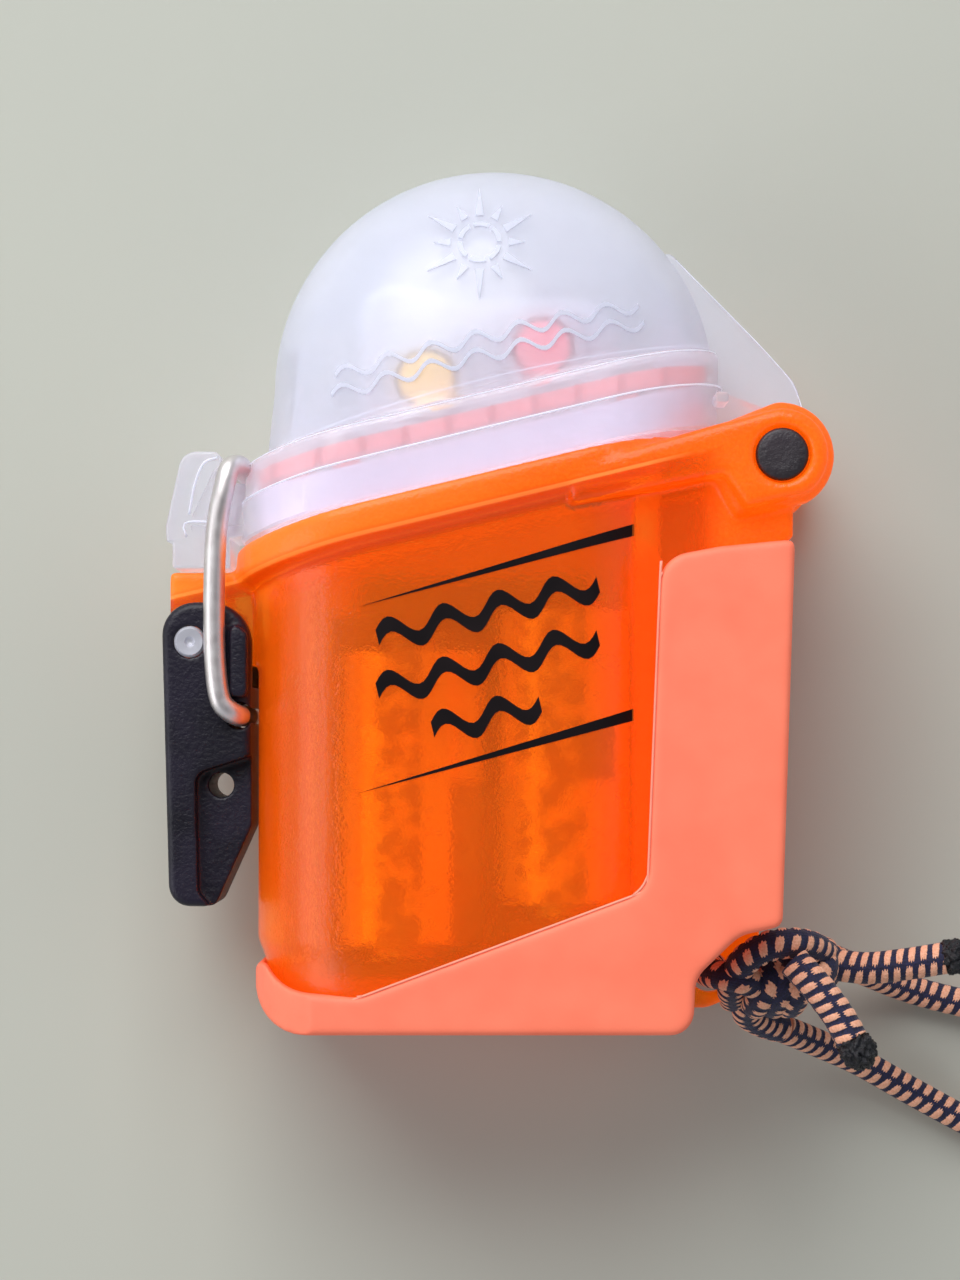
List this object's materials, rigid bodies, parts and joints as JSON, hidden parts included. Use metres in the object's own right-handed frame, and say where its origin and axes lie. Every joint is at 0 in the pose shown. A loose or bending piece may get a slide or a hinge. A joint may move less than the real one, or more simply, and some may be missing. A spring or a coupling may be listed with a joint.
{
  "type": "emergency position beacon",
  "caption": "Pocket rescue beacon in a translucent water-tight case with a clear hinged dome lid over its buttons, a wire-bail latch lever and a braided wrist lanyard.",
  "frame": {"origin": "under the middle of the beacon without its lanyard, on the surface that its back lies on", "axes": "+Z out of the front face, +Y up to the clear dome, +X across to the hinge"},
  "size_m": [0.165, 0.1277, 0.039],
  "materials": {
    "orange_case": "translucent, glossy over a fine grain",
    "coral_bumper": "matte soft overmould",
    "frosted_clear": "frosted clear",
    "black_plastic": "leather grain",
    "white_core": "satin",
    "red_rubber": "matte",
    "stainless_steel": "drawn wire",
    "nickel_contact": "satin plated",
    "yellow_button": "satin",
    "red_button": "satin",
    "green_board": "solder mask",
    "tan_ceramic": "unglazed ceramic",
    "battery_wrap": "shrink wrap",
    "clear_lens": "clear",
    "braided_cord": "navy and peach braid",
    "melted_cord": "melted and charred"
  },
  "bodies": {
    "case": {"case_shell": "orange_case", "case_bumper": "coral_bumper", "hinge_pin": "stainless_steel", "hinge_cap_front": "black_plastic", "hinge_cap_back": "black_plastic", "latch_pin": "stainless_steel", "core_housing": "white_core", "core_screw_left": "stainless_steel", "core_screw_right": "stainless_steel", "yellow_switch": "nickel_contact", "red_switch": "nickel_contact", "button_board": "green_board", "radio_board": "green_board", "gps_patch": "tan_ceramic", "board_connector": "black_plastic", "strobe_lens": "clear_lens", "battery_cradle": "black_plastic", "battery_left": "battery_wrap", "battery_right": "battery_wrap", "contact_left": "nickel_contact", "contact_right": "nickel_contact", "contact_pad_left": "nickel_contact", "contact_pad_right": "nickel_contact", "antenna_tape": "stainless_steel", "lanyard_loop": "braided_cord", "lanyard_hitch": "braided_cord", "lanyard_knot": "braided_cord", "front_tail": "braided_cord", "side_tail": "braided_cord", "front_tail_end": "melted_cord", "side_tail_end": "melted_cord"},
    "lid": {"lid_dome": "frosted_clear", "lid_gasket": "red_rubber"},
    "lever": {"latch_lever": "black_plastic"},
    "bail": {"wire_bail": "stainless_steel"},
    "yellow_key": {"yellow_button": "yellow_button"},
    "red_key": {"red_button": "red_button"}
  },
  "joints": [
    {"name": "lid_hinge", "type": "hinge", "parent": "case", "child": "lid", "pos_m": [0.03155, 0.0149, 0.0195], "axis": [0, 0, -1], "range_deg": [0, 110]},
    {"name": "latch_pivot", "type": "hinge", "parent": "case", "child": "lever", "pos_m": [-0.03335, -0.00525, 0.0195], "axis": [0, 0, -1], "range_deg": [0, 115], "deforming": ["wire_bail"]},
    {"name": "bail_swing", "type": "hinge", "parent": "lever", "child": "bail", "pos_m": [-0.02795, -0.0134, 0.0195], "axis": [0, 0, -1], "range_deg": [-85, 0]},
    {"name": "yellow_press", "type": "slide", "parent": "case", "child": "yellow_key", "axis": [0, 0, -1], "range_m": [0, 0.0008], "stiffness_N_per_m": 1500},
    {"name": "red_press", "type": "slide", "parent": "case", "child": "red_key", "axis": [0, 0, -1], "range_m": [0, 0.0008], "stiffness_N_per_m": 1500}
  ],
  "couplings": [
    {"joint": "bail_swing", "follows": "latch_pivot", "ratio": -0.7}
  ]
}
